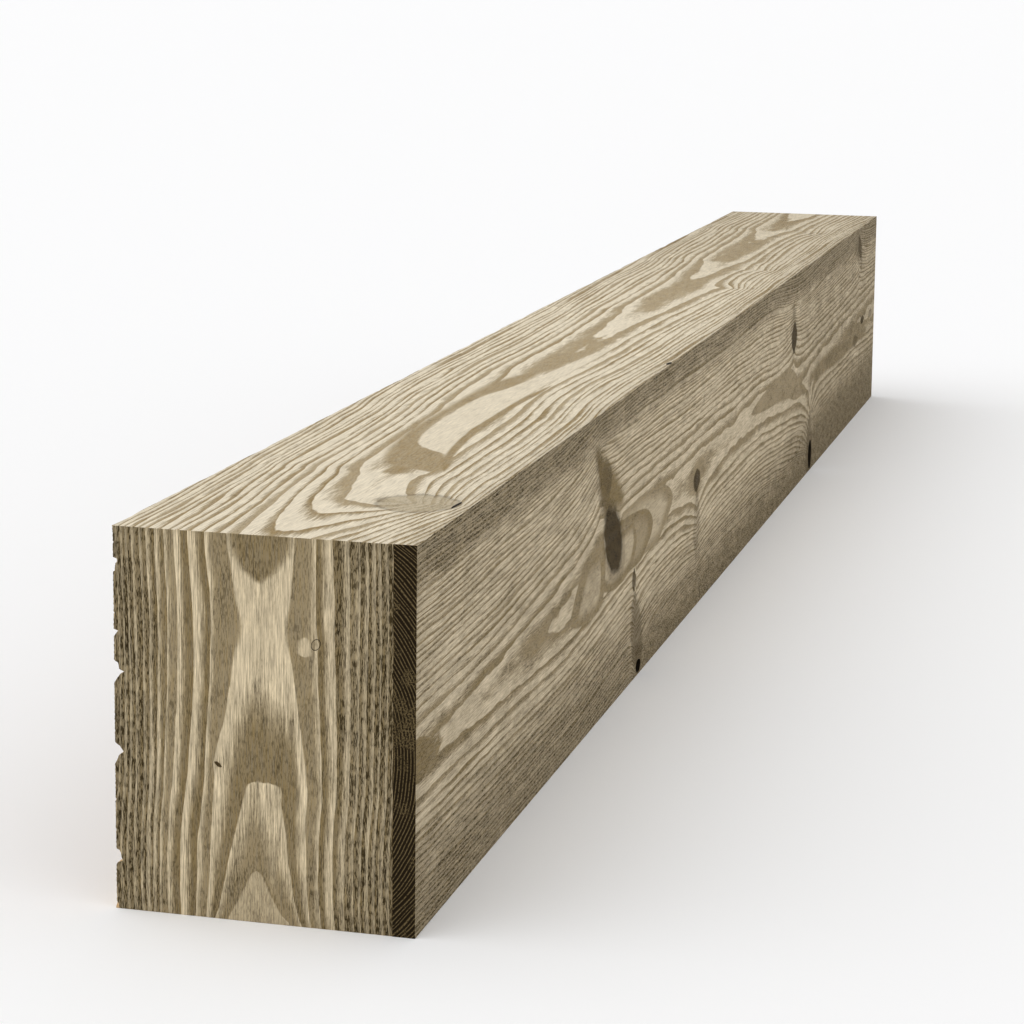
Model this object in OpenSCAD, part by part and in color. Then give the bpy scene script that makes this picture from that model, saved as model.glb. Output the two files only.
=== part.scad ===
// Hollow box beam of softwood boards: a top, a show face and an underside mitred along
// their long edges, a cap let in at each end, and an open back that goes to the wall.
// Frame: +X towards the show face, +Y along the beam, +Z up, origin under its middle.

/* [Beam] */
// Length from end to end
beam_length = 2200; // [600:10:4000]
// Depth from the open back to the show face
beam_depth = 200; // [120:1:320]
// Height from the underside to the top
beam_height = 250; // [150:1:400]

/* [Boards] */
// Thickness of every board, and so the leg of every mitre
board_thickness = 15; // [8:0.5:25]

/* [Torn back edge of the near cap] */
// Height of the tallest chip
chip_height = 14; // [2:0.5:20]
// Depth of the deepest chip, in from the edge
chip_depth = 7.3; // [1:0.1:12]

/* [Open knots low on the face board] */
// Width of the large open knot, along the beam
large_knot_width = 26; // [12:0.5:36]
// Height of the large open knot
large_knot_height = 34; // [20:1:60]
// Width of the small open knot, along the beam
small_knot_width = 20; // [12:0.5:30]
// Height of the small open knot
small_knot_height = 11; // [8:0.5:30]
// Height of the lower ends of the open knots above the underside
knot_rise = 2; // [1:0.5:20]

/* [Hidden] */
back_x = -beam_depth / 2;
face_x = beam_depth / 2;
inner_face_x = face_x - board_thickness;
near_y = -beam_length / 2;
far_y = beam_length / 2;
inner_near_y = near_y + board_thickness;
inner_far_y = far_y - board_thickness;
inner_top_z = beam_height - board_thickness;
inner_height = beam_height - 2 * board_thickness;
// How far a cutting shape runs past the surface that it cuts
overcut = 1;
// The chips from the bottom up, each with these shares: its place in the height between the
// mitres, its height and its depth of the largest, and of its own height and depth, where
// it is deepest and how much of it is torn off squarely at its upper end
chips = [
  [0.09, 0.75, 0.65, 0.3, 0.75],
  [0.40, 1.00, 0.85, 0.6, 0.25],
  [0.64, 1.00, 1.00, 0.5, 0.40],
  [0.75, 0.35, 0.60, 0.9, 0.90],
  [0.95, 0.65, 0.45, 0.7, 0.60]
];
// The open knots, each with its share of the length from the near end, width and height
open_knots = [
  [0.30, small_knot_width, small_knot_height],
  [0.74, large_knot_width, large_knot_height]
];

// A prism along Y, from y0 to y1, over a section drawn in X and Z
module along_y(y0, y1) {
  translate([0, y1, 0])
    rotate([90, 0, 0])
      linear_extrude(y1 - y0)
        children();
}

// A prism along X, from x0 to x1, over a section drawn in Y and Z
module along_x(x0, x1) {
  translate([x0, 0, 0])
    rotate([90, 0, 90])
      linear_extrude(x1 - x0)
        children();
}

// The top board's shape: square at the back, mitred to the face board and to both caps.
// With past above 0 it is the cutter for that shape, grown upwards along the mitres.
module mitred_slab(past = 0) {
  top_z = beam_height + past;
  slab_back_x = back_x - past;
  intersection() {
    along_y(near_y - past, far_y + past)
      polygon([
        [slab_back_x, inner_top_z],
        [inner_face_x, inner_top_z],
        [face_x + past, top_z],
        [slab_back_x, top_z]
      ]);
    along_x(slab_back_x, face_x + past)
      polygon([
        [inner_near_y, inner_top_z],
        [inner_far_y, inner_top_z],
        [far_y + past, top_z],
        [near_y - past, top_z]
      ]);
  }
}

// The children turned over top to bottom, about the middle of the height
module turned_over() {
  translate([0, 0, beam_height])
    mirror([0, 0, 1])
      children();
}

// The children turned end for end, about the middle of the length
module other_end() {
  mirror([0, 1, 0])
    children();
}

// What the top and bottom boards take out of the boards that stand between them
module mitre_cuts() {
  mitred_slab(overcut);
  turned_over()
    mitred_slab(overcut);
}

// The section of one chip, out of an edge at x = 0, from its middle at z = 0
module chip(tall, deep, peak, shoulder) {
  translate([0, -tall / 2])
    polygon([
      [-overcut, 0],
      [0, 0],
      [deep, peak * tall],
      [shoulder * deep, tall],
      [-overcut, tall]
    ]);
}

// All the chips up the near cap's back edge
module chip_cuts() {
  along_y(near_y - overcut, inner_near_y + overcut)
    for (c = chips)
      translate([back_x, board_thickness + c[0] * inner_height])
        chip(c[1] * chip_height, c[2] * chip_depth, c[3], c[4]);
}

// A slot with round ends, upright or lying, from its lower side at z = 0
module round_slot(wide, tall) {
  radius = min(wide, tall) / 2;
  reach_x = wide / 2 - radius;
  for (x = [-reach_x, reach_x], z = [radius, tall - radius])
    translate([x, z])
      circle(radius, $fn = 48);
  if (tall > wide)
    translate([-radius, radius])
      square([wide, tall - wide]);
  if (wide > tall)
    translate([-reach_x, 0])
      square([wide - tall, tall]);
}

// The open knots through the face board
module open_knot_cuts() {
  along_x(inner_face_x - overcut, face_x + overcut)
    for (k = open_knots)
      translate([near_y + k[0] * beam_length, knot_rise])
        round_slot(k[1], k[2]);
}

// A whole cap at the near end, between the back and the face board
module cap_blank() {
  difference() {
    translate([back_x, near_y, 0])
      cube([beam_depth - board_thickness, board_thickness, beam_height]);
    mitre_cuts();
  }
}

module top_board() {
  color("#c9b792")
    mitred_slab();
}

module bottom_board() {
  color("#93835f")
    turned_over()
      mitred_slab();
}

// The face board keeps its square end grain at both ends of the beam
module face_board() {
  color("#8d7e5f")
    difference() {
      translate([inner_face_x, near_y, 0])
        cube([board_thickness, beam_length, beam_height]);
      mitre_cuts();
      open_knot_cuts();
    }
}

module near_cap() {
  color("#7d6b45")
    difference() {
      cap_blank();
      chip_cuts();
    }
}

module far_cap() {
  color("#7d6b45")
    other_end()
      cap_blank();
}

top_board();
face_board();
bottom_board();
near_cap();
far_cap();
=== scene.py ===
from dataclasses import dataclass
from math import exp, hypot

import bmesh
import bpy
from bpy.props import FloatProperty, FloatVectorProperty, PointerProperty
from bpy.types import Operator, Panel, PropertyGroup
from mathutils import Matrix, Vector, noise


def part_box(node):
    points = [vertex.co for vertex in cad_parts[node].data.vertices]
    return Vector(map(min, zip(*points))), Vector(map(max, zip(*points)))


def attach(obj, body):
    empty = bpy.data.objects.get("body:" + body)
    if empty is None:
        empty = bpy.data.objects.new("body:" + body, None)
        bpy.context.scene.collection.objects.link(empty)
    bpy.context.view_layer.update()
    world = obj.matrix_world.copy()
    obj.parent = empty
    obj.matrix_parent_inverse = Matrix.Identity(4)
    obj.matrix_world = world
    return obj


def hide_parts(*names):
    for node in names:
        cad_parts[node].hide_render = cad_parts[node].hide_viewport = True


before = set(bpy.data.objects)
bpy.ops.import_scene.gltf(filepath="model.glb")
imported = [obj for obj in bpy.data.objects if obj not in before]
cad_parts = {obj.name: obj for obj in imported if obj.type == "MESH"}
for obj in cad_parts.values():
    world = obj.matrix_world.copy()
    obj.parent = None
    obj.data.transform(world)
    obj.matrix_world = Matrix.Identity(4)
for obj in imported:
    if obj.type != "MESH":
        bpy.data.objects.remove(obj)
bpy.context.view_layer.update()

bl_info = {
    "name": "Timber Box Beam",
    "version": (1, 0, 0),
    "blender": (4, 5, 0),
    "location": "3D View > Sidebar > Box Beam",
    "description": "Brushed, stained boards of a hollow softwood beam, and a pale studio to show it in",
    "category": "Object",
}

MM = 0.001


# The boards and where they lie

class Board:
    """A board of the frame, with the corner that its own measures start from and its three directions."""

    def __init__(self, node, along, across, inward):
        low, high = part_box(node)
        self.node = node
        self.along, self.across, self.inward = Vector(along), Vector(across), Vector(inward)
        facing = self.along + self.across + self.inward
        self.corner = Vector(low[i] if facing[i] > 0 else high[i] for i in range(3))
        extent = high - low
        self.length = abs(extent.dot(self.along))
        self.width = abs(extent.dot(self.across))
        self.thickness = abs(extent.dot(self.inward))

    def to_frame(self):
        """The matrix from the board's own measures to the frame."""
        turn = Matrix((self.along, self.across, self.inward)).transposed()
        return Matrix.Translation(self.corner) @ turn.to_4x4()


UP, DOWN = (0, 0, 1), (0, 0, -1)
TO_FACE, TO_BACK = (1, 0, 0), (-1, 0, 0)
TO_FAR, TO_NEAR = (0, 1, 0), (0, -1, 0)

TOP = Board("top_board", TO_FAR, TO_FACE, DOWN)
FACE = Board("face_board", TO_FAR, DOWN, TO_BACK)
BOTTOM = Board("bottom_board", TO_FAR, TO_FACE, UP)
NEAR_CAP = Board("near_cap", DOWN, TO_FACE, TO_FAR)
FAR_CAP = Board("far_cap", DOWN, TO_FACE, TO_NEAR)


# The figure of each board, in millimetres from its corner: along, across

@dataclass
class Knot:
    """A knot, or a fold of the growth rings that has no core."""

    along: float
    across: float
    # How far it draws the rings out, to the near end, to the far end and to either side, and by how many
    reach: tuple = (20, 20, 10)
    lift: float = 0
    # Its half sizes along and across, and how far it leans along for each millimetre across
    half: tuple = (1, 1)
    lean: float = 0
    # How dark its core is, with 2 for a crack, and how dark its rim is
    tone: float = 0
    rim: float = 0
    # How deep it sinks, and its outline: 1 is pointed, 2 is round
    sunk: float = 0
    point: float = 1


@dataclass
class Island:
    """A patch of its own: its two edges along the board, its stain, and how soft its edges are."""

    low_edge: list
    high_edge: list
    stain: float
    soft: float = 0.7


@dataclass
class Figure:
    """How the growth rings of a board run, where its stain soaked in, and where shade is painted in. The
    lists are points of curves.
    """

    # How many rings the heart has shifted by along the board, where it lies across, and how deep
    heart_rings: list
    heart_line: list
    heart_depth: float
    # The number of rings by the distance out from the heart
    ring_count: list
    # Up to which share of a ring it is wholly dark, and from which it is wholly pale
    hold: float
    share: float
    # How much stain soaked in along the board and across it; the top's rise towards its far end is painted
    # shade, where the light falls off
    soak_and_shade_along: list
    soak_across: list
    # Over which distance the heart's shift dies away, and how much the years differ
    heart_reach: float = 1000
    growth: float = 0
    knots: tuple = ()
    islands: tuple = ()


TOP_FIGURE = Figure(
    heart_rings=[(0, 3.3), (90, 2), (165, 1), (212, 0.6), (235, 0.2), (322, 0), (600, -0.32), (665, -0.5),
                 (705, -0.78), (900, -1), (1080, -1.38), (1145, -1.7), (1410, -2), (1565, -2.35),
                 (1600, -2.75), (1838, -3), (1935, -3.3), (1970, -3.72), (2100, -4), (2200, -4.35)],
    heart_line=[(0, 107), (200, 112), (450, 108), (650, 100), (900, 103), (1400, 100), (1850, 95),
                (2200, 100)],
    heart_depth=110,
    ring_count=[(-15, -4.5), (0, 0), (60, 18)],
    hold=0.15,
    share=0.6,
    # Painted shade: the top grows darker towards its far end, away from the light
    soak_and_shade_along=[(0, 0), (1100, 0.04), (1600, 0.25), (2200, 0.4)],
    soak_across=[(0, 0.2), (12, 0.06), (100, 0), (150, 0.04), (185, 0.15), (200, 0.4)],
    growth=0.6,
    knots=(
        Knot(125, 163, reach=(45, 50, 36), lift=3.2, half=(29, 27), tone=0.75, rim=0.4, sunk=0.5, point=2),
        Knot(127, 189, half=(12, 1.7), lean=3, tone=2),
        Knot(1335, 154, reach=(120, 35, 24), lift=1.6),
        Knot(1510, 154, reach=(30, 120, 24), lift=1.4),
        Knot(1935, 154, reach=(40, 60, 20), lift=1.5, half=(16, 8), rim=0.5),
        Knot(1665, 25, half=(20, 4), lean=-2, rim=0.4),
        Knot(780, 198, half=(10, 2.5), tone=2),
    ),
    islands=(
        Island([(222, 152), (232, 138), (245, 115), (262, 98), (330, 84), (420, 77), (550, 77), (640, 82),
                (720, 112)],
               [(222, 140), (232, 146), (262, 145), (285, 138), (305, 126), (345, 97), (405, 90), (510, 86),
                (555, 90), (640, 104), (720, 102)], stain=0.8, soft=5),
        Island([(298, 136), (305, 126), (320, 111), (345, 98), (405, 90), (510, 87), (555, 90), (600, 98),
                (660, 106), (750, 115), (840, 125), (860, 132)],
               [(298, 131), (310, 134), (322, 130), (375, 125), (420, 122), (600, 123), (720, 128),
                (840, 131), (860, 128)], stain=0.05, soft=1.5),
        Island([(228, 152), (250, 143), (290, 134), (330, 128), (375, 124), (420, 122), (520, 122),
                (600, 126), (640, 131)],
               [(228, 150), (250, 148), (290, 140), (330, 135), (375, 131), (420, 129), (520, 128),
                (600, 130), (640, 129)], stain=0.85, soft=1.2),
    ),
)
FACE_FIGURE = Figure(
    heart_rings=[(0, 0.15), (37, 0), (180, -0.35), (250, -0.65), (360, -1), (400, -1.15), (800, -1.22),
                 (1200, -1.3), (1550, -1.6), (1700, -2.2), (2200, -3.2)],
    heart_line=[(0, 137), (300, 135), (550, 125), (800, 118), (1200, 118), (1550, 130), (1700, 128),
                (2200, 125)],
    heart_depth=120,
    ring_count=[(-15, -7), (0, 0), (66, 30)],
    hold=0.08,
    share=0.6,
    soak_and_shade_along=[(0, 0.35), (60, 0.2), (450, 0.15), (700, 0), (1000, 0.05), (1450, 0.15), (1650, 0.4),
                (2200, 0.45)],
    soak_across=[(0, 1), (14, 0.9), (26, 0.5), (40, 0.1), (160, 0.05), (190, 0.35), (220, 0.75), (250, 1)],
    growth=0.8,
    knots=(
        Knot(557, 112, half=(30, 29), lean=0.5, tone=1.1, rim=0.5, sunk=1, point=2),
        Knot(558, 115, half=(40, 38), lean=0.5, tone=0.3, point=2),
        Knot(505, 50, reach=(70, 90, 45), lift=3.5),
        Knot(514, 62, half=(22, 40), lean=0.6, tone=0.35),
        Knot(530, 55, half=(17, 18), lean=0.4, tone=0.5),
        Knot(648, 225, reach=(8, 100, 65), lift=4),
        Knot(638, 163, half=(8, 11), tone=0.85),
        Knot(652, 214, half=(24, 44), lean=0.3, tone=0.55),
        Knot(915, 170, reach=(60, 60, 45), lift=2.5, half=(16, 38), tone=0.35),
        Knot(912, 129, half=(18, 12), tone=0.95),
        Knot(1480, 60, half=(22, 30), tone=0.35),
        Knot(1488, 72, reach=(60, 30, 35), lift=2, half=(21, 20), tone=1),
        Knot(1622, 227, reach=(70, 35, 60), lift=8, half=(24, 50), tone=0.45),
        Knot(2036, 27, reach=(50, 60, 45), lift=3, half=(18, 20), lean=0.8, tone=0.8),
        Knot(2030, 30, half=(34, 30), lean=0.8, tone=0.3),
        Knot(2077, 127, half=(18, 6), tone=0.95),
        Knot(2160, 129, half=(20, 7), tone=0.5),
        Knot(2010, 147, half=(28, 8), tone=0.5),
    ),
    islands=(
        Island([(600, 276), (640, 262), (665, 224), (1600, 224), (1670, 190), (2210, 180)],
               [(600, 270), (640, 276), (2210, 277)], stain=0.5, soft=24),
        Island([(484, 30), (492, 28), (515, 36), (545, 50), (580, 72), (600, 90)],
               [(484, 28), (492, 36), (500, 52), (512, 72), (530, 88), (580, 90), (600, 84)],
               stain=1, soft=10),
        Island([(575, 140), (590, 96), (660, 96), (720, 100), (765, 106), (792, 116), (800, 124)],
               [(575, 110), (590, 150), (735, 150), (750, 146), (772, 138), (792, 130), (800, 122)],
               stain=0.7),
        Island([(580, 140), (595, 102), (660, 103), (720, 108), (755, 114), (778, 124)],
               [(580, 110), (595, 145), (735, 142), (755, 134), (778, 122)], stain=0.25, soft=7),
        Island([(565, 145), (580, 102), (645, 106), (682, 111), (705, 120), (714, 129)],
               [(565, 110), (580, 152), (660, 152), (682, 146), (705, 138), (714, 127)], stain=0.85),
        Island([(570, 145), (585, 108), (640, 112), (672, 118), (697, 130)],
               [(570, 110), (585, 147), (655, 147), (672, 141), (697, 128)], stain=0.6, soft=7),
        Island([(506, 136), (512, 116), (560, 112), (622, 112), (642, 122), (647, 132)],
               [(506, 134), (512, 142), (532, 150), (577, 155), (622, 150), (642, 138), (647, 130)],
               stain=0.8),
        Island([(520, 130), (535, 118), (622, 118), (636, 130)],
               [(520, 128), (535, 142), (577, 147), (615, 143), (636, 128)], stain=0.3, soft=4),
        Island([(405, 148), (412, 140), (425, 128), (450, 112), (480, 105), (516, 104), (530, 140)],
               [(405, 146), (420, 153), (495, 159), (516, 156), (530, 120)], stain=0.75),
        Island([(435, 148), (455, 130), (480, 120), (505, 120), (512, 140)],
               [(435, 146), (455, 150), (490, 152), (505, 148), (512, 130)], stain=0.3, soft=6),
        Island([(1200, 118), (1230, 110), (1440, 101), (1470, 105), (1560, 150)],
               [(1200, 114), (1230, 119), (1440, 135), (1545, 148), (1560, 146)], stain=0.65),
        Island([(-5, 122), (10, 123), (30, 130), (40, 142)],
               [(-5, 150), (10, 152), (30, 146), (40, 138)], stain=0.95),
        Island([(1615, 142), (1660, 130), (1750, 127), (1900, 133), (2100, 141), (2130, 149)],
               [(1615, 138), (1660, 145), (1750, 148), (1900, 152), (2100, 150), (2130, 145)],
               stain=0.75, soft=4),
    ),
)
CAP_FIGURE = Figure(
    heart_rings=[(0, 0.5), (20, 0.7), (40, 0.85), (60, 0.92), (85, 0.8), (110, 0.5), (135, 0.2), (150, 0.06),
                 (158, 0), (160, -0.09), (175, -0.18), (200, -0.43), (212, -0.56), (225, -0.75), (238, -1.2),
                 (250, -1.95)],
    heart_line=[(0, 98), (60, 99), (150, 98), (218, 95), (250, 96)],
    heart_depth=100,
    ring_count=[(-15, -4), (0, 0), (1.8, 0.37), (2.6, 0.6), (3.2, 0.8), (4.25, 1), (7.2, 2), (11.2, 3),
                (15.3, 4), (18.5, 5), (21.5, 6), (24.5, 7), (27, 8), (31, 9.2), (41, 13)],
    hold=0.32,
    share=0.9,
    soak_and_shade_along=[(0, 0.1), (30, 0.05), (200, 0.05), (232, 0.15), (250, 0.2)],
    soak_across=[(0, 0.95), (15, 0.7), (28, 0.4), (40, 0.1), (55, 0.03), (80, 0.1), (115, 0.1), (135, 0.1),
                 (150, 0.45), (170, 0.7), (185, 0.95)],
    heart_reach=6,
    knots=(
        Knot(67, 135, reach=(12, 12, 8), lift=0.2, half=(3.4, 3), lean=-0.3, tone=0.2, rim=1, sunk=0.3,
             point=2),
        Knot(149, 70, reach=(14, 14, 6), lift=0.4, half=(1.6, 2.8), lean=0.5, tone=1, sunk=0.6),
    ),
    islands=(
        Island([(-3, 78), (0, 78), (10, 80), (18, 84), (24, 89), (28, 94), (32, 101)],
               [(-3, 119), (0, 119), (10, 117), (18, 112), (24, 107), (28, 102), (32, 97)],
               stain=0.85, soft=4),
        Island([(62, 129), (66, 124), (72, 123), (76, 129)],
               [(62, 127), (66, 131), (72, 132), (76, 127)], stain=0.2, soft=1.5),
        Island([(215, 97), (219, 92), (225, 89), (235, 84), (252, 75)],
               [(215, 94), (219, 99), (225, 102), (235, 107), (252, 117)], stain=0.3),
    ),
)
PLAIN_FIGURE = Figure(
    heart_rings=[(0, 1.2), (500, 0.3), (1100, -0.8), (1700, -1.4), (2200, -2.6)],
    heart_line=[(0, 90), (700, 105), (1500, 92), (2200, 108)],
    heart_depth=120,
    ring_count=[(-15, -5), (0, 0), (60, 20)],
    hold=0.25,
    share=0.7,
    soak_and_shade_along=[(0, 0.1), (1100, 0), (2200, 0.15)],
    soak_across=[(0, 0.4), (30, 0.1), (100, 0), (170, 0.1), (200, 0.5)],
    knots=(
        Knot(700, 60, reach=(60, 90, 30), lift=2.5, half=(14, 12), tone=0.8, rim=0.3, sunk=0.5),
        Knot(1600, 140, reach=(90, 60, 30), lift=2, half=(9, 9), tone=0.7, rim=0.3, sunk=0.5),
    ),
)

# The torn back edge of the near cap, from the top down: millimetres along the edge, millimetres torn off
TORN_EDGE = [
    (0, 0), (10, 0.2), (10.6, 0.8), (11.6, 0.1), (20.6, 0.2), (21, 2.4), (23.4, 3.2), (24.2, 1.7), (29, 1.6),
    (29.6, 0.2), (55.5, 0.3), (56, 0.9), (57, 0.2), (67, 0.2), (67.2, 4.4), (68.4, 2.8), (71.4, 0.3),
    (87, 0.2), (88.4, 3), (92.6, 3.6), (94, 7.3), (95.5, 4.2), (101.5, 0.2), (140.5, 0.3), (142.5, 3.5),
    (146.3, 6.2), (148, 3.4), (154.6, 0.2), (177.5, 0.3), (178, 1), (179, 0.2), (197.5, 0.2), (198, 0.8),
    (199, 0.3), (210.5, 0.4), (211.5, 3.4), (216, 3.8), (218, 4.8), (219.2, 1.6), (221, 0.3), (245.5, 0.4),
    (247, 1.6), (250, 2),
]

# The open knots of the face board: place along and across, and half sizes
OPEN_KNOTS = [(660, 242.5, 10, 5.5), (1628, 231, 13, 17)]


# Settings that a user would change

def color_setting(name, description, default):
    """A colour that a user can set."""
    return FloatVectorProperty(
        name=name, description=description, subtype="COLOR", min=0, max=1, default=default)


class BeamFinish(PropertyGroup):
    """Colours of the wood and of its stain."""

    pale_wood: color_setting(
        "Pale wood", "Hard, late wood of the top, which takes little stain", (0.78, 0.69, 0.53))
    warm_wood: color_setting(
        "Warm wood", "Hard, late wood of the caps and the underside", (0.66, 0.55, 0.37))
    # Painted shade: the warm wood made darker for the face board, which stands on the shaded side of the beam
    face_wood_painted_shade: color_setting(
        "Grey wood", "Hard, late wood of the face board", (0.56, 0.47, 0.33))
    light_stain: color_setting(
        "Light stain", "Soft, early wood of the top under its thin stain", (0.31, 0.22, 0.10))
    dark_stain: color_setting(
        "Dark stain", "Soft, early wood of the other boards under their stain", (0.205, 0.15, 0.07))
    soaked: color_setting(
        "Soaked pores", "Open pores that drank the most stain", (0.05, 0.035, 0.014))
    knot: color_setting(
        "Knot", "Dead knots of the face board, the caps and the underside", (0.068, 0.047, 0.02))
    grey_knot: color_setting(
        "Grey knot", "Live knot of the top", (0.47, 0.39, 0.26))
    # The crack colour is also painted on the bottom board's mitre as the shade inside the beam
    crack: color_setting(
        "Crack", "Cracks, specks and the walls of open knots", (0.014, 0.010, 0.006))
    end_grain: color_setting(
        "End grain", "Stain soaked into the ends of the face board", (0.014, 0.009, 0.004))
    raw_wood: color_setting(
        "Raw wood", "Unstained insides", (0.70, 0.55, 0.36))


class BeamStage(PropertyGroup):
    """The studio: camera, lamps and floor."""

    camera_place: FloatVectorProperty(
        name="Camera place", description="Where the camera stands", subtype="TRANSLATION", unit="LENGTH",
        default=(0.5697, -2.6800, 0.6120))
    view_direction: FloatVectorProperty(
        name="View direction", description="Where the camera looks", subtype="DIRECTION",
        default=(-0.24924, 0.95719, -0.14718))
    camera_right: FloatVectorProperty(
        name="Camera right", description="The picture's level", subtype="DIRECTION",
        default=(0.96729, 0.25346, 0.01035))
    focal_length: FloatProperty(
        name="Focal length", description="In millimetres on a 36 mm sensor", subtype="DISTANCE_CAMERA",
        min=1, default=97.16)
    rise: FloatProperty(
        name="Rise", description="Upright shift of the picture, as a share of its width", default=-0.1516)
    floor: color_setting("Floor", "Paint of the floor", (0.96, 0.96, 0.965))
    sky_strength: FloatProperty(
        name="Sky strength", description="Even light from all round", min=0, default=0.68)
    key_strength: FloatProperty(
        name="Key strength", description="Strength of the broad soft lamp", min=0, default=1.0)
    key_direction: FloatVectorProperty(
        name="Key direction", description="From the beam to the broad soft lamp", subtype="DIRECTION",
        default=(-0.6, -0.25, 0.76))
    fill_strength: FloatProperty(
        name="Fill strength", description="Strength of the lamp that lightens the shadow", min=0, default=0.5)
    fill_direction: FloatVectorProperty(
        name="Fill direction", description="From the beam to the fill lamp", subtype="DIRECTION",
        default=(0.85, -0.2, 0.5))
    lamp_spread: FloatProperty(
        name="Lamp spread", description="How broad the lamps look from the beam", subtype="ANGLE", min=0,
        default=1.3)


class BeamSizes(PropertyGroup):
    """Sizes of the made surfaces."""

    arris: FloatProperty(
        name="Arris", description="Width of the flat that eases the outer edges", subtype="DISTANCE",
        unit="LENGTH", min=0, default=0.4 * MM)
    waviness: FloatProperty(
        name="Waviness", description="Depth of the brushed hollows of a show face", subtype="DISTANCE",
        unit="LENGTH", min=0, default=0.2 * MM)


# Node trees

class Wire:
    """A value in a node tree. Arithmetic on it adds the Math nodes that work it out."""

    def __init__(self, socket):
        self.socket = socket
        self.tree = socket.id_data

    def __add__(self, other):
        return compute("ADD", self, other)

    def __radd__(self, other):
        return compute("ADD", other, self)

    def __sub__(self, other):
        return compute("SUBTRACT", self, other)

    def __rsub__(self, other):
        return compute("SUBTRACT", other, self)

    def __mul__(self, other):
        return compute("MULTIPLY", self, other)

    def __truediv__(self, other):
        return compute("DIVIDE", self, other)


def plug(socket, value):
    """Sets a socket to a number, or links it to a wire."""
    if isinstance(value, Wire):
        value.tree.links.new(value.socket, socket)
    else:
        socket.default_value = value


def plug_all(node, values):
    """Sets or links sockets of a node by their names."""
    for name, value in values.items():
        plug(node.inputs[name], value)


def compute(operation, *values, clamp=False):
    """A Math node on wires and numbers."""
    tree = next(v.tree for v in values if isinstance(v, Wire))
    node = tree.nodes.new("ShaderNodeMath")
    node.operation = operation
    node.use_clamp = clamp
    for socket, value in zip(node.inputs, values):
        plug(socket, value)
    return Wire(node.outputs[0])


def smooth_step(wire, low, high, start=0.0, end=1.0):
    """A smooth change from start to end as the wire goes from low to high."""
    node = wire.tree.nodes.new("ShaderNodeMapRange")
    node.interpolation_type = "SMOOTHSTEP"
    plug_all(node, {"Value": wire, "From Min": low, "From Max": high, "To Min": start, "To Max": end})
    return Wire(node.outputs["Result"])


def bell(wire):
    """Falls from 1 at zero to almost nothing at 2, either side."""
    return compute("EXPONENT", wire * wire * -1)


def curve(wire, points):
    """The height of a smooth curve through the points, at the wire's value."""
    places, heights = zip(*points)
    low_place, low_height = places[0], min(heights)
    span, rise = places[-1] - low_place, max(heights) - low_height
    node = wire.tree.nodes.new("ShaderNodeFloatCurve")
    spots = node.mapping.curves[0].points
    while len(spots) < len(points):
        spots.new(0.5, 0.5)
    for spot, (place, height) in zip(spots, points):
        spot.location = ((place - low_place) / span, (height - low_height) / rise)
        spot.handle_type = "AUTO_CLAMPED"
    node.mapping.update()
    plug(node.inputs["Value"], (wire - low_place) / span)
    return Wire(node.outputs["Value"]) * rise + low_height


def vector(*parts):
    """A vector of three wires or numbers."""
    tree = next(p.tree for p in parts if isinstance(p, Wire))
    node = tree.nodes.new("ShaderNodeCombineXYZ")
    for socket, part in zip(node.inputs, parts):
        plug(socket, part)
    return Wire(node.outputs[0])


def cloud(place, lengths, detail=2.0, roughness=0.5):
    """Noise about zero, mostly within one half, stretched to these lengths along and across."""
    stretched = vector(*(part / length for part, length in zip(place, lengths)), 0.0)
    node = stretched.tree.nodes.new("ShaderNodeTexNoise")
    node.noise_dimensions = "2D"
    plug_all(node, {"Vector": stretched, "Scale": 1.0, "Detail": detail, "Roughness": roughness})
    return (Wire(node.outputs["Fac"]) - 0.5) * 2


# The colour sockets of a Mix node, which share their names with other sockets
MIX_FIRST, MIX_SECOND, MIX_RESULT = 6, 7, 2


def mix(share, first, second):
    """A colour between two."""
    node = share.tree.nodes.new("ShaderNodeMix")
    node.data_type = "RGBA"
    plug(node.inputs["Factor"], share)
    for number, value in ((MIX_FIRST, first), (MIX_SECOND, second)):
        plug(node.inputs[number], value if isinstance(value, Wire) else (*value, 1.0))
    return Wire(node.outputs[MIX_RESULT])


def scale_color(color, share):
    """A colour made lighter or darker."""
    node = color.tree.nodes.new("ShaderNodeVectorMath")
    node.operation = "SCALE"
    plug(node.inputs[0], color)
    plug(node.inputs["Scale"], share)
    return Wire(node.outputs[0])


SOCKETS = {"float": "NodeSocketFloat", "vector": "NodeSocketVector"}


def new_group(name, inputs, outputs):
    """An empty shader group with named sockets: its tree, its wires in and the node for its results."""
    group = bpy.data.node_groups.new(name, "ShaderNodeTree")
    for direction, sockets in (("INPUT", inputs), ("OUTPUT", outputs)):
        for label, kind in sockets.items():
            group.interface.new_socket(label, in_out=direction, socket_type=SOCKETS[kind])
    entry = group.nodes.new("NodeGroupInput")
    leave = group.nodes.new("NodeGroupOutput")
    return group, {label: Wire(entry.outputs[label]) for label in inputs}, leave


def use_group(tree, name, values):
    """A node for a group in a tree, with its inputs set, and its outputs as wires."""
    node = tree.nodes.new("ShaderNodeGroup")
    node.node_tree = bpy.data.node_groups[name]
    plug_all(node, values)
    return {socket.name: Wire(socket) for socket in node.outputs}


def floats(*names):
    """Sockets of one number each."""
    return {name: "float" for name in names}


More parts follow.
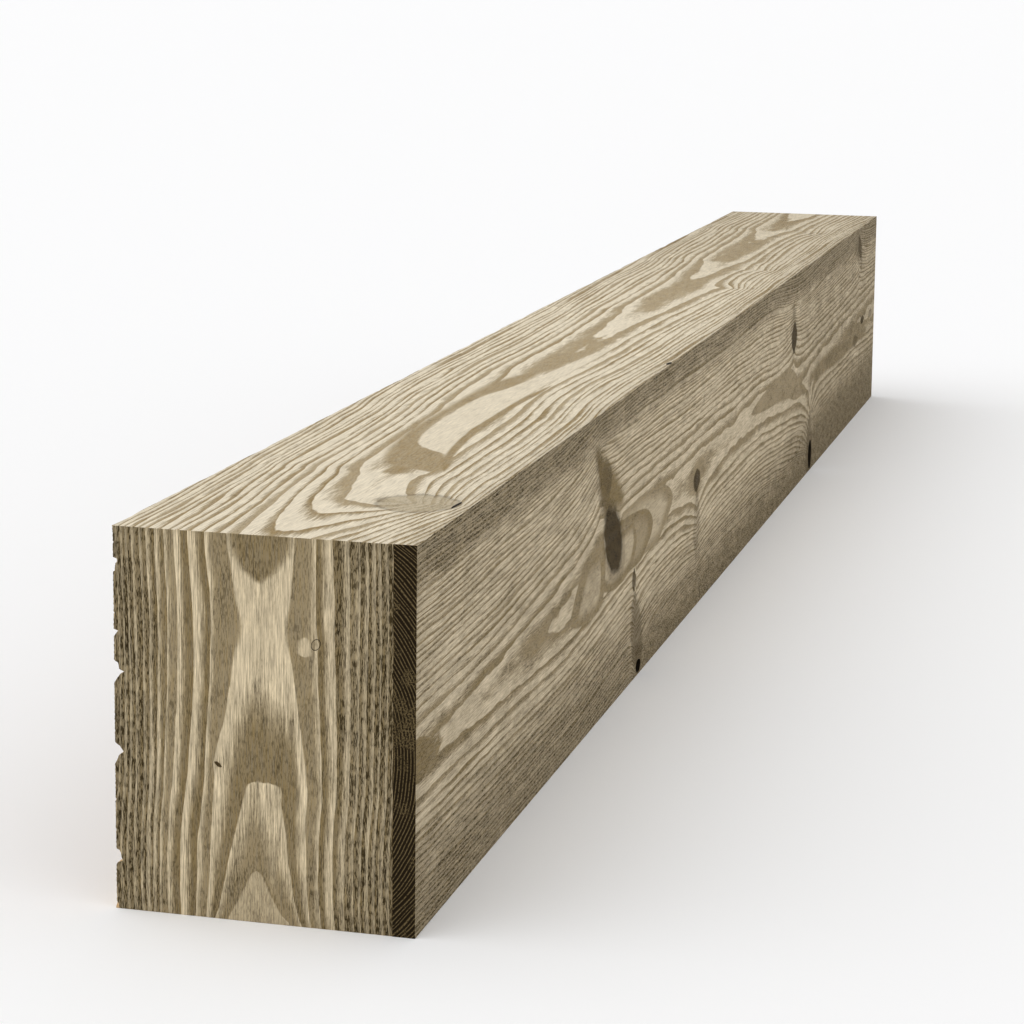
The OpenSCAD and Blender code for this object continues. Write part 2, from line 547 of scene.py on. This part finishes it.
def board_place_group():
    """Turns a point of the object into a board's own millimetres."""
    inputs = {name: "vector" for name in ("Point", "Corner", "Along", "Across", "Inward")}
    group, wires, leave = new_group("Board Place", inputs, floats("Along", "Across", "Depth"))
    offset = group.nodes.new("ShaderNodeVectorMath")
    offset.operation = "SUBTRACT"
    plug(offset.inputs[0], wires["Point"])
    plug(offset.inputs[1], wires["Corner"])
    for label, direction in (("Along", "Along"), ("Across", "Across"), ("Depth", "Inward")):
        measure = group.nodes.new("ShaderNodeVectorMath")
        measure.operation = "DOT_PRODUCT"
        plug(measure.inputs[0], Wire(offset.outputs[0]))
        plug(measure.inputs[1], wires[direction])
        plug(leave.inputs[label], Wire(measure.outputs["Value"]) / MM)


def heart_distance_group():
    """How far a point lies outside the ring that just touches the show face, with a natural waver."""
    group, wires, leave = new_group(
        "Heart Distance", floats("Along", "Across", "Depth", "Heart Line", "Heart Depth"), floats("Distance"))
    place = (wires["Along"], wires["Across"])
    sway = cloud(place, (260, 45), detail=1) * 4.5
    tremble = cloud(place, (45, 12), detail=2) * 0.45
    aside = wires["Across"] - wires["Heart Line"] + sway
    above = wires["Heart Depth"] - wires["Depth"]
    radius = compute("SQRT", aside * aside + above * above)
    plug(leave.inputs["Distance"], radius - wires["Heart Depth"] + tremble)


def knot_group():
    """Draws the growth rings out round a knot, and marks its core and its rim."""
    core_edge, rim_width = (0.75, 1.1), 0.16
    inputs = floats("Rings", "Core", "Rim", "Along", "Across", "Wobble", "Place Along", "Place Across",
                    "Reach Near", "Reach Far", "Reach Beside", "Lift", "Half Along", "Half Across", "Lean",
                    "Point", "Tone", "Rim Tone")
    group, wires, leave = new_group("Knot", inputs, floats("Rings", "Core", "Rim"))
    forward = wires["Along"] - wires["Place Along"]
    aside = wires["Across"] - wires["Place Across"]
    reach = compute("MAXIMUM", forward / wires["Reach Far"], forward * -1 / wires["Reach Near"])
    pull = compute("EXPONENT", reach * -1) * bell(aside / wires["Reach Beside"])
    plug(leave.inputs["Rings"], wires["Rings"] - wires["Lift"] * pull)
    from_along = compute("ABSOLUTE", (forward - aside * wires["Lean"]) / wires["Half Along"])
    from_across = aside / wires["Half Across"]
    out = compute("POWER", from_along, wires["Point"]) + from_across * from_across + wires["Wobble"]
    core = smooth_step(out, *core_edge, 1.0, 0.0) * wires["Tone"]
    plug(leave.inputs["Core"], compute("MAXIMUM", wires["Core"], core))
    rim = bell((out - 1) / rim_width) * wires["Rim Tone"]
    plug(leave.inputs["Rim"], compute("MAXIMUM", wires["Rim"], rim))


def brushed_grain_group():
    """The dark and pale parts of each growth ring, feathered along the fibres, and the open pores."""
    inputs = floats("Rings", "Along", "Across", "Dark Hold", "Dark Share", "Feather", "Pore Length")
    group, wires, leave = new_group("Brushed Grain", inputs, floats("Band", "Fibre", "Pores"))
    place = (wires["Along"], wires["Across"])
    inside = compute("FRACT", wires["Rings"])
    fibre = cloud(place, (22, 0.9), detail=3, roughness=0.65)
    white = group.nodes.new("ShaderNodeTexWhiteNoise")
    white.noise_dimensions = "1D"
    plug(white.inputs["W"], compute("FLOOR", wires["Rings"]))
    each_ring = Wire(white.outputs["Value"])
    uneven = (each_ring - 0.5) * 0.3 + cloud(place, (130, 14), detail=2) * 0.35
    ragged = inside + uneven + fibre * wires["Feather"]
    early = smooth_step(ragged, wires["Dark Hold"], wires["Dark Share"], 1.0, 0.0)
    next_ring = smooth_step(inside, 0.96, 1.0) * 0.8
    strength = each_ring * 0.3 + 0.7
    plug(leave.inputs["Band"], compute("MAXIMUM", early, next_ring) * strength)
    plug(leave.inputs["Fibre"], fibre)
    specks = cloud(place, (wires["Pore Length"], 0.75), detail=2, roughness=0.6)
    plug(leave.inputs["Pores"], specks + cloud(place, (18, 6), detail=2) * 0.3)


def island_group():
    """Gives the wood between two edges its own amount of stain."""
    inputs = floats("Band", "Across", "Low Edge", "High Edge", "Stain", "Soft")
    group, wires, leave = new_group("Island", inputs, floats("Band"))
    after = smooth_step((wires["Across"] - wires["Low Edge"]) / wires["Soft"], -1, 1)
    before = smooth_step((wires["High Edge"] - wires["Across"]) / wires["Soft"], -1, 1)
    plug(leave.inputs["Band"], wires["Band"] + after * before * (wires["Stain"] - wires["Band"]))


# From which value of the noise a pore begins, and from which it is fully dark
PORE_EDGE = (0, 0.28)


def soaked_stain_group():
    """Stain over the grain: where it soaked in and where shade is painted in, the rings are lost and the
    pores are dark.
    """
    inputs = floats("Band", "Fibre", "Pores", "Soak And Shade", "Pitting")
    group, wires, leave = new_group("Soaked Stain", inputs, floats("Stain", "Pits", "Height"))
    band, soak_and_shade = wires["Band"], wires["Soak And Shade"]
    flooded = band + soak_and_shade * 0.6 * (0.8 - band)
    stain = compute("MULTIPLY", flooded, 1 + wires["Fibre"] * 0.7, clamp=True)
    pores = smooth_step(wires["Pores"] + soak_and_shade * 0.1, *PORE_EDGE)
    thirst = 0.05 + soak_and_shade * 0.3 + band * (0.22 + soak_and_shade * 0.4)
    pits = compute("MULTIPLY", pores * wires["Pitting"], thirst, clamp=True)
    plug(leave.inputs["Stain"], stain)
    plug(leave.inputs["Pits"], pits)
    plug(leave.inputs["Height"], 1 - band * 0.7 - pits * 0.8 + wires["Fibre"] * 0.4)


def make_node_groups():
    """Builds every group once."""
    if "Board Place" in bpy.data.node_groups:
        return
    for build in (board_place_group, heart_distance_group, knot_group, brushed_grain_group, island_group,
                  soaked_stain_group):
        build()


# Materials

# How much dry wood shines, and the strength and the depth of its relief
WOOD_SHINE = 0.05
RELIEF_STRENGTH = 0.6
RELIEF_DEPTH = 0.4 * MM


def new_material(name):
    """An empty node material with its shader."""
    material = bpy.data.materials.new(name)
    material.use_nodes = True
    tree = material.node_tree
    return material, tree, tree.nodes["Principled BSDF"]


def board_measures(tree, board):
    """The board's own millimetres at the shaded point."""
    point = Wire(tree.nodes.new("ShaderNodeTexCoord").outputs["Object"])
    values = {"Point": point, "Corner": board.corner, "Along": board.along, "Across": board.across,
              "Inward": board.inward}
    return use_group(tree, "Board Place", values)


def ring_figure(tree, measures, figure):
    """The number of growth rings out from the heart, with the cores and rims of the knots."""
    distance = use_group(tree, "Heart Distance", {
        **measures,
        "Heart Line": curve(measures["Along"], figure.heart_line),
        "Heart Depth": figure.heart_depth,
    })["Distance"]
    place = {label: measures[label] for label in ("Along", "Across")}
    shift = curve(measures["Along"], figure.heart_rings)
    heart = shift * compute("EXPONENT", distance * (-1 / figure.heart_reach))
    wobble = cloud(place.values(), (14, 9), detail=3) * 0.3
    lean_years = cloud((distance, measures["Along"]), (6, 3000), detail=1) * smooth_step(distance, 2, 12)
    rings = heart + curve(distance, figure.ring_count) + lean_years * figure.growth
    state = {"Rings": rings, "Core": 0.0, "Rim": 0.0}
    for knot in figure.knots:
        near, far, beside = knot.reach
        state = use_group(tree, "Knot", {
            **state, **place, "Wobble": wobble,
            "Place Along": knot.along, "Place Across": knot.across,
            "Reach Near": near, "Reach Far": far, "Reach Beside": beside, "Lift": knot.lift,
            "Half Along": knot.half[0], "Half Across": knot.half[1], "Lean": knot.lean, "Point": knot.point,
            "Tone": knot.tone, "Rim Tone": knot.rim,
        })
    return {**state, **place}


def finish_wood(tree, shader, color, height, roughness):
    """Feeds the shader: colour, roughness and the relief of the grain."""
    bump = tree.nodes.new("ShaderNodeBump")
    plug_all(bump, {"Strength": RELIEF_STRENGTH, "Distance": RELIEF_DEPTH, "Height": height})
    plug_all(shader, {"Base Color": color, "Roughness": roughness, "Normal": Wire(bump.outputs["Normal"]),
                      "Specular IOR Level": WOOD_SHINE})


@dataclass
class Stain:
    """The colours of a stained board, and how unevenly it took the stain."""

    pale: tuple
    dark: tuple
    knot: tuple
    feather: float
    pitting: float
    pore_length: float
    patchiness: float
    grit: float


def stained_wood(name, board, figure, stain):
    """Brushed softwood under a thin stain."""
    finish = bpy.context.scene.beam_finish
    material, tree, shader = new_material(name)
    rings = ring_figure(tree, board_measures(tree, board), figure)
    place = {label: rings[label] for label in ("Along", "Across")}
    along, across = place.values()
    grain = use_group(tree, "Brushed Grain", {
        **place, "Rings": rings["Rings"],
        "Dark Hold": figure.hold, "Dark Share": figure.share, "Feather": stain.feather,
        "Pore Length": stain.pore_length,
    })
    band = grain["Band"]
    for island in figure.islands:
        band = use_group(tree, "Island", {
            "Band": band, "Across": across + grain["Fibre"], "Stain": island.stain, "Soft": island.soft,
            "Low Edge": curve(along, island.low_edge), "High Edge": curve(along, island.high_edge),
        })["Band"]
    clouds = cloud((along, across), (50, 13), detail=4, roughness=0.75)
    # Soaked stain, with the painted shade along the top: both flood the rings and darken the colour
    soak_and_shade = curve(along, figure.soak_and_shade_along) + curve(across, figure.soak_across)
    soak_and_shade = compute("ADD", soak_and_shade, clouds * stain.patchiness, clamp=True)
    stained = use_group(tree, "Soaked Stain", {
        "Band": band, "Fibre": grain["Fibre"], "Pores": grain["Pores"], "Soak And Shade": soak_and_shade,
        "Pitting": stain.pitting,
    })
    color = mix(stained["Stain"], stain.pale, stain.dark)
    color = mix(stained["Pits"], color, finish.soaked)
    # Fibres make the colour lighter and darker; soaked stain and painted shade make it darker
    color = scale_color(color, 1 + grain["Fibre"] * stain.grit - soak_and_shade * 0.2)
    color = mix(rings["Core"], color, stain.knot)
    rotten = smooth_step(rings["Core"], 0.6, 1) * smooth_step(grain["Pores"], *PORE_EDGE)
    color = mix(rotten * 0.8, color, finish.crack)
    cracked = compute("MAXIMUM", rings["Rim"], smooth_step(rings["Core"], 1, 2))
    color = mix(cracked, color, finish.crack)
    finish_wood(tree, shader, color, stained["Height"], 0.85 - stained["Height"] * 0.12)
    return material


def end_grain(name, board, figure):
    """The dark, thirsty end of a board, crossed by its growth rings."""
    finish = bpy.context.scene.beam_finish
    material, tree, shader = new_material(name)
    measures = board_measures(tree, board)
    rings = ring_figure(tree, measures, figure)
    inside = compute("FRACT", rings["Rings"])
    place = (measures["Across"], measures["Depth"])
    speckle = cloud(place, (1.2, 1.2), detail=2, roughness=0.7)
    swirl = cloud(place, (16, 10), detail=2) + bell((measures["Across"] - 110) / 40) * 0.5
    line = bell((inside - 0.6) / 0.14) * smooth_step(speckle, -0.5, 0.1)
    blotch = smooth_step(swirl, 0.25, 0.6) * smooth_step(speckle, -0.1, 0.2) * 0.6
    line = compute("MAXIMUM", line, blotch)
    color = mix(line * 0.8, finish.end_grain, finish.dark_stain)
    finish_wood(tree, shader, color, line, 0.95 - line * 0.1)
    return material


def raw_wood(name, board, figure):
    """Unstained wood on the inside and on sawn edges."""
    finish = bpy.context.scene.beam_finish
    material, tree, shader = new_material(name)
    rings = ring_figure(tree, board_measures(tree, board), figure)
    grain = use_group(tree, "Brushed Grain", {
        "Along": rings["Along"], "Across": rings["Across"], "Rings": rings["Rings"],
        "Dark Hold": 0.2, "Dark Share": 0.8, "Feather": 0.3, "Pore Length": 4})
    late = tuple(part * shade for part, shade in zip(finish.raw_wood, (0.78, 0.68, 0.55)))
    color = mix(1 - grain["Band"], finish.raw_wood, late)
    finish_wood(tree, shader, color, grain["Fibre"] * 0.3, 0.85 - grain["Band"] * 0.05)
    return material


def knot_wall_and_painted_shade(name):
    """The dark wall of an open knot; also used as painted shade on the hidden mitre of the bottom board."""
    finish = bpy.context.scene.beam_finish
    material, _, shader = new_material(name)
    plug_all(shader, {"Base Color": (*finish.crack, 1), "Roughness": 0.95, "Specular IOR Level": WOOD_SHINE})
    return material


def board_materials(name, board, figure, stain):
    """The materials of a board's show face and of its inside."""
    return [stained_wood("stained_" + name, board, figure, stain), raw_wood("raw_" + name, board, figure)]


# Meshes of the boards

@dataclass
class Shape:
    """How a board is cut: which of its edges are mitred, and how finely it is divided."""

    ends_mitred: bool
    low_mitred: bool
    high_mitred: bool
    pitch: tuple
    layers: int = 1


# Spacing of the points along and across: of boards that are seen, and of the underside
SEEN_PITCH = (5 * MM, 4 * MM)
HIDDEN_PITCH = (10 * MM, 8 * MM)

# Places in a piece's list of materials
SHOW, RAW, END, HOLE = range(4)
# The bottom board's mitre, painted near-black as the shade inside the beam
PAINTED_SHADE_MITRE = 2


def rim_point(board, shape, plan, depth, ease=0.0):
    """A point of a board at a depth below its show face, from its shares of the length and the width."""
    ends = ease or (depth if shape.ends_mitred else 0)
    along = ends + plan.x * (board.length - 2 * ends)
    lean = depth if shape.ends_mitred else min(depth, along, board.length - along)
    low = ease or (lean if shape.low_mitred else 0)
    high = ease or (lean if shape.high_mitred else 0)
    return Vector((along, low + plan.y * (board.width - low - high), depth))


def show_face(board, shape, arris):
    """The finely divided show face of a board in its own measures, with its shares kept on the points."""
    bm = bmesh.new()
    plan = bm.verts.layers.float_vector.new("plan")
    columns, rows = (round(size / pitch) for size, pitch in zip((board.length, board.width), shape.pitch))
    bmesh.ops.create_grid(bm, size=0.5, x_segments=columns, y_segments=rows)
    bmesh.ops.translate(bm, verts=bm.verts, vec=(0.5, 0.5, 0))
    for vert in bm.verts:
        vert[plan] = vert.co
        vert.co = rim_point(board, shape, vert.co, 0, arris)
    return bm


def add_sides(bm, board, shape, arris):
    """Carries the rim of the show face down over the eased edges and the sides, and closes the inner face."""
    plan = bm.verts.layers.float_vector["plan"]
    depths = [arris / 2] + [board.thickness * (layer + 1) / shape.layers for layer in range(shape.layers)]
    rim = [edge for edge in bm.edges if edge.is_boundary]
    for number, depth in enumerate(depths):
        made = bmesh.ops.extrude_edge_only(bm, edges=rim)["geom"]
        for item in made:
            if isinstance(item, bmesh.types.BMVert):
                item.co = rim_point(board, shape, item[plan], depth)
            elif isinstance(item, bmesh.types.BMFace):
                item.material_index = SHOW if number == 0 else RAW
        rim = [item for item in made if isinstance(item, bmesh.types.BMEdge) and item.is_boundary]
    for face in bmesh.ops.edgeloop_fill(bm, edges=rim)["faces"]:
        face.material_index = RAW
    bm.verts.layers.float_vector.remove(plan)


def by_knot(point, board, knot):
    """Whether a point of a show face lies by a knot, and away from the rim."""
    margin, spare = 8 * MM, 8
    off_rim = margin < point.x < board.length - margin and margin < point.y < board.width - margin
    forward, aside = point.x / MM - knot.along, point.y / MM - knot.across
    return off_rim and hypot(forward / (knot.half[0] + spare), aside / (knot.half[1] + spare)) < 1


def divide_knots(bm, board, figure):
    """Divides the show face more finely where it has sunken knots."""
    for knot in figure.knots:
        edges = [edge for edge in bm.edges if all(by_knot(vert.co, board, knot) for vert in edge.verts)]
        if knot.sunk and edges:
            bmesh.ops.subdivide_edges(bm, edges=edges, cuts=3, use_grid_fill=True)


def knot_sink(knot, along, across):
    """How far a point sinks with a knot, deepest in the crack round it, in millimetres."""
    aside = across - knot.across
    forward = along - knot.along - knot.lean * aside
    out = abs(forward / knot.half[0]) ** knot.point + (aside / knot.half[1]) ** 2
    crack_width = 0.2
    crack = exp(-((out - 1) / crack_width) ** 2)
    dish = max(0, 1 - out)
    return (0.5 * crack + 0.5 * dish) * knot.sunk


def ripple(along, across, lengths, seed=0):
    """Smooth noise from -1 to 1 that waves over these lengths along and across."""
    return noise.noise(Vector((along / lengths[0], across / lengths[1], seed)))


def sink_show_face(bm, board, figure, waviness):
    """Hollows the show face a little, and sinks its knots, all inwards."""
    rim_reach = 12 * MM
    sunken = [knot for knot in figure.knots if knot.sunk]
    for vert in bm.verts:
        along, across = vert.co.x, vert.co.y
        to_rim = min(along, board.length - along, across, board.width - across)
        fade = max(0.0, min(1.0, to_rim / rim_reach - 0.1))
        hollow = waviness * (0.5 + 0.5 * ripple(along, across, (0.12, 0.02)))
        hollow += sum(knot_sink(knot, along / MM, across / MM) for knot in sunken) * MM
        vert.co.z = hollow * fade


def torn_depth(along):
    """How much is torn off the back edge of the near cap at a distance below its top, in metres."""
    at = along / MM
    for (start, deep), (end, deeper) in zip(TORN_EDGE, TORN_EDGE[1:]):
        if start <= at <= end:
            return (deep + (deeper - deep) * (at - start) / (end - start)) * MM
    return TORN_EDGE[-1][1] * MM


def tear_back_edge(bm):
    """Tears the back edge of the near cap, raggedly through its thickness."""
    reach = 16 * MM
    for vert in bm.verts:
        along, across, depth = vert.co
        if across < reach:
            ragged = 0.4 * MM * (1 + ripple(along / MM, depth / MM, (1.5, 4)))
            slant = 1 + 0.25 * ripple(along / MM, depth / MM, (12, 9), seed=5)
            vert.co.y += (torn_depth(along) * slant + ragged) * (1 - across / reach)


def wear_back_edge(bm):
    """Wears the back edge of the top board a little, in short and long dips."""
    reach = 10 * MM
    for vert in bm.verts:
        along, across = vert.co.x, vert.co.y
        if across < reach:
            long_dip = 2 * max(0, ripple(along, 0, (0.05, 1), seed=3))
            short_dip = max(0, ripple(along, 0, (0.012, 1), seed=7))
            vert.co.y += (long_dip + short_dip) * MM * (1 - across / reach)


def knot_cutter(board, materials, along, across, half_along, half_across):
    """A plug with an uneven outline that runs right through a board."""
    bm = bmesh.new()
    bmesh.ops.create_circle(bm, cap_ends=True, segments=36, radius=1)
    for vert in bm.verts:
        vert.co *= 1 + 0.12 * noise.noise(vert.co * 1.7 + Vector((along, across, 0)))
    bmesh.ops.scale(bm, verts=bm.verts, vec=(half_along * MM, half_across * MM, 1))
    bmesh.ops.translate(bm, verts=bm.verts, vec=(along * MM, across * MM, -MM))
    made = bmesh.ops.extrude_face_region(bm, geom=bm.faces[:])["geom"]
    bmesh.ops.translate(
        bm, verts=[item for item in made if isinstance(item, bmesh.types.BMVert)],
        vec=(0, 0, board.thickness + 2 * MM))
    for face in bm.faces:
        face.material_index = HOLE
    bmesh.ops.transform(bm, matrix=board.to_frame(), verts=bm.verts)
    bmesh.ops.recalc_face_normals(bm, faces=bm.faces)
    return new_object("knot_cutter", bm, materials)


def cut_open_knots(piece, board):
    """Cuts the open knots through a board."""
    for measures in OPEN_KNOTS:
        cutter = knot_cutter(board, piece.data.materials, *measures)
        cut = piece.modifiers.new("open_knot", "BOOLEAN")
        cut.operation, cut.solver, cut.object = "DIFFERENCE", "MANIFOLD", cutter
        shaped = piece.evaluated_get(bpy.context.evaluated_depsgraph_get())
        piece.data = bpy.data.meshes.new_from_object(shaped)
        piece.modifiers.remove(cut)
        bpy.data.objects.remove(cutter)


def new_object(name, bm, materials):
    """An object in the scene from a finished mesh."""
    mesh = bpy.data.meshes.new(name)
    bm.to_mesh(mesh)
    bm.free()
    for material in materials:
        mesh.materials.append(material)
    made = bpy.data.objects.new(name, mesh)
    bpy.context.scene.collection.objects.link(made)
    return made


def dress_board(board, shape, figure, materials, age=None):
    """Builds one board as the piece that stands for its node, with its back edge aged if asked."""
    sizes = bpy.context.scene.beam_sizes
    bm = show_face(board, shape, sizes.arris)
    divide_knots(bm, board, figure)
    sink_show_face(bm, board, figure, sizes.waviness)
    add_sides(bm, board, shape, sizes.arris)
    if age:
        age(bm)
    bmesh.ops.transform(bm, matrix=board.to_frame(), verts=bm.verts)
    bmesh.ops.recalc_face_normals(bm, faces=bm.faces)
    piece = new_object(board.node + "_dressed", bm, materials)
    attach(piece, "root")
    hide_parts(board.node)
    return piece


# Operators

class BEAM_OT_top_board(Operator):
    """Makes the top board"""

    bl_idname = "beam.top_board"
    bl_label = "Top Board"

    def execute(self, context):
        finish = context.scene.beam_finish
        make_node_groups()
        stain = Stain(finish.pale_wood, finish.light_stain, finish.grey_knot, feather=0.45, pitting=1.2,
                      pore_length=5, patchiness=0.35, grit=0.4)
        materials = board_materials("top", TOP, TOP_FIGURE, stain)
        shape = Shape(ends_mitred=True, low_mitred=False, high_mitred=True, pitch=SEEN_PITCH)
        dress_board(TOP, shape, TOP_FIGURE, materials, wear_back_edge)
        return {"FINISHED"}


class BEAM_OT_face_board(Operator):
    """Makes the face board, with its dark end grain and its open knots"""

    bl_idname = "beam.face_board"
    bl_label = "Face Board"

    def execute(self, context):
        finish = context.scene.beam_finish
        make_node_groups()
        # The face board's pale wood is the warm wood with shade painted in
        stain = Stain(finish.face_wood_painted_shade, finish.dark_stain, finish.knot, feather=0.4, pitting=1.2,
                      pore_length=5, patchiness=0.8, grit=0.65)
        materials = board_materials("face", FACE, FACE_FIGURE, stain)
        materials += [end_grain("face_end_grain", FACE, FACE_FIGURE), knot_wall_and_painted_shade("open_knot_wall")]
        shape = Shape(ends_mitred=False, low_mitred=True, high_mitred=True, pitch=SEEN_PITCH)
        piece = dress_board(FACE, shape, FACE_FIGURE, materials)
        cut_open_knots(piece, FACE)
        for polygon in piece.data.polygons:
            if abs(polygon.normal.y) > 0.9 and abs(polygon.center.y) > FACE.length / 2 - MM:
                polygon.material_index = END
        return {"FINISHED"}


class BEAM_OT_bottom_board(Operator):
    """Makes the bottom board, with painted shade on the mitre that shows through the open knots"""

    bl_idname = "beam.bottom_board"
    bl_label = "Bottom Board"

    def execute(self, context):
        finish = context.scene.beam_finish
        make_node_groups()
        stain = Stain(finish.warm_wood, finish.dark_stain, finish.knot, feather=0.4, pitting=0.5,
                      pore_length=4, patchiness=0.6, grit=0.5)
        materials = board_materials("bottom", BOTTOM, PLAIN_FIGURE, stain)
        # Painted shade: the mitre inside the beam gets the near-black of the knot walls
        materials += [knot_wall_and_painted_shade("painted_shade_mitre")]
        shape = Shape(ends_mitred=True, low_mitred=False, high_mitred=True, pitch=HIDDEN_PITCH)
        piece = dress_board(BOTTOM, shape, PLAIN_FIGURE, materials)
        for polygon in piece.data.polygons:
            if polygon.normal.x > 0.5 and polygon.normal.z > 0.5:
                polygon.material_index = PAINTED_SHADE_MITRE
        return {"FINISHED"}


class BEAM_OT_end_caps(Operator):
    """Makes the two end caps, the near one with its torn back edge"""

    bl_idname = "beam.end_caps"
    bl_label = "End Caps"

    def execute(self, context):
        finish = context.scene.beam_finish
        make_node_groups()
        stain = Stain(finish.warm_wood, finish.dark_stain, finish.knot, feather=0.35, pitting=1.5,
                      pore_length=5, patchiness=0.6, grit=0.9)
        pitch_across = 2.5 * MM
        for board, pitch_along, layers, age in ((NEAR_CAP, 0.8 * MM, 6, tear_back_edge),
                                                (FAR_CAP, 5 * MM, 1, None)):
            materials = board_materials(board.node, board, CAP_FIGURE, stain)
            shape = Shape(ends_mitred=True, low_mitred=False, high_mitred=False,
                          pitch=(pitch_along, pitch_across), layers=layers)
            dress_board(board, shape, CAP_FIGURE, materials, age)
        return {"FINISHED"}


class BEAM_OT_stage(Operator):
    """Sets up the pale floor, the soft light and the camera"""

    bl_idname = "beam.stage"
    bl_label = "Stage"

    def execute(self, context):
        scene, stage = context.scene, context.scene.beam_stage
        scene.view_settings.view_transform = "Standard"
        make_floor(stage)
        make_sky(stage)
        make_lamp("key", stage.key_strength, stage.key_direction, stage.lamp_spread)
        make_lamp("fill", stage.fill_strength, stage.fill_direction, stage.lamp_spread)
        make_camera(stage)
        return {"FINISHED"}


# The stage

FLOOR_REACH = 40
LAMP_DISTANCE = 4
SENSOR_WIDTH = 36
VIEW_REACH = 200


def make_floor(stage):
    """A wide pale floor under the beam."""
    bm = bmesh.new()
    bmesh.ops.create_grid(bm, x_segments=1, y_segments=1, size=FLOOR_REACH)
    material, _, shader = new_material("floor_paint")
    plug_all(shader, {"Base Color": (*stage.floor, 1), "Roughness": 0.9})
    new_object("floor", bm, [material])


def make_sky(stage):
    """Even light from all round, which the camera sees as white."""
    world = bpy.data.worlds.new("studio")
    bpy.context.scene.world = world
    world.use_nodes = True
    tree = world.node_tree
    background = tree.nodes["Background"]
    background.inputs["Color"].default_value = (1, 1, 1, 1)
    path = tree.nodes.new("ShaderNodeLightPath")
    seen = compute("MAXIMUM", Wire(path.outputs["Is Camera Ray"]), Wire(path.outputs["Is Glossy Ray"]))
    seen = compute("MAXIMUM", seen, Wire(path.outputs["Is Transmission Ray"]))
    plug(background.inputs["Strength"], seen * (1 - stage.sky_strength) + stage.sky_strength)


def make_lamp(name, strength, direction, spread):
    """A broad soft lamp in a direction from the beam."""
    lamp = bpy.data.lights.new(name, "SUN")
    lamp.energy = strength
    lamp.angle = spread
    made = bpy.data.objects.new(name, lamp)
    made.location = Vector(direction) * LAMP_DISTANCE
    made.rotation_euler = Vector(direction).to_track_quat("Z", "Y").to_euler()
    bpy.context.scene.collection.objects.link(made)


def make_camera(stage):
    """The camera at the photograph's place."""
    lens = bpy.data.cameras.new("camera")
    lens.lens = stage.focal_length
    lens.sensor_width = SENSOR_WIDTH
    lens.shift_y = stage.rise
    lens.clip_end = VIEW_REACH
    camera = bpy.data.objects.new("camera", lens)
    back = -Vector(stage.view_direction).normalized()
    right = Vector(stage.camera_right).normalized()
    turn = Matrix((right, back.cross(right), back)).transposed()
    camera.matrix_world = Matrix.Translation(stage.camera_place) @ turn.to_4x4()
    bpy.context.scene.collection.objects.link(camera)
    bpy.context.scene.camera = camera


class BEAM_PT_panel(Panel):
    """The beam's pieces and settings in the sidebar"""

    bl_idname = "BEAM_PT_panel"
    bl_label = "Box Beam"
    bl_space_type = "VIEW_3D"
    bl_region_type = "UI"
    bl_category = "Box Beam"

    def draw(self, context):
        layout = self.layout
        for operator in OPERATORS:
            layout.operator(operator.bl_idname)
        for group in (context.scene.beam_sizes, context.scene.beam_finish, context.scene.beam_stage):
            for name in group.__annotations__:
                layout.prop(group, name)


GROUPS = {"beam_finish": BeamFinish, "beam_stage": BeamStage, "beam_sizes": BeamSizes}
OPERATORS = (BEAM_OT_stage, BEAM_OT_top_board, BEAM_OT_face_board, BEAM_OT_bottom_board, BEAM_OT_end_caps)


def register():
    for kind in (*GROUPS.values(), *OPERATORS, BEAM_PT_panel):
        bpy.utils.register_class(kind)
    for name, kind in GROUPS.items():
        setattr(bpy.types.Scene, name, PointerProperty(type=kind))


def unregister():
    for name in GROUPS:
        delattr(bpy.types.Scene, name)
    for kind in reversed((*GROUPS.values(), *OPERATORS, BEAM_PT_panel)):
        bpy.utils.unregister_class(kind)


def main():
    register()
    bpy.ops.beam.stage()
    bpy.ops.beam.top_board()
    bpy.ops.beam.face_board()
    bpy.ops.beam.bottom_board()
    bpy.ops.beam.end_caps()


if __name__ == "__main__":
    main()
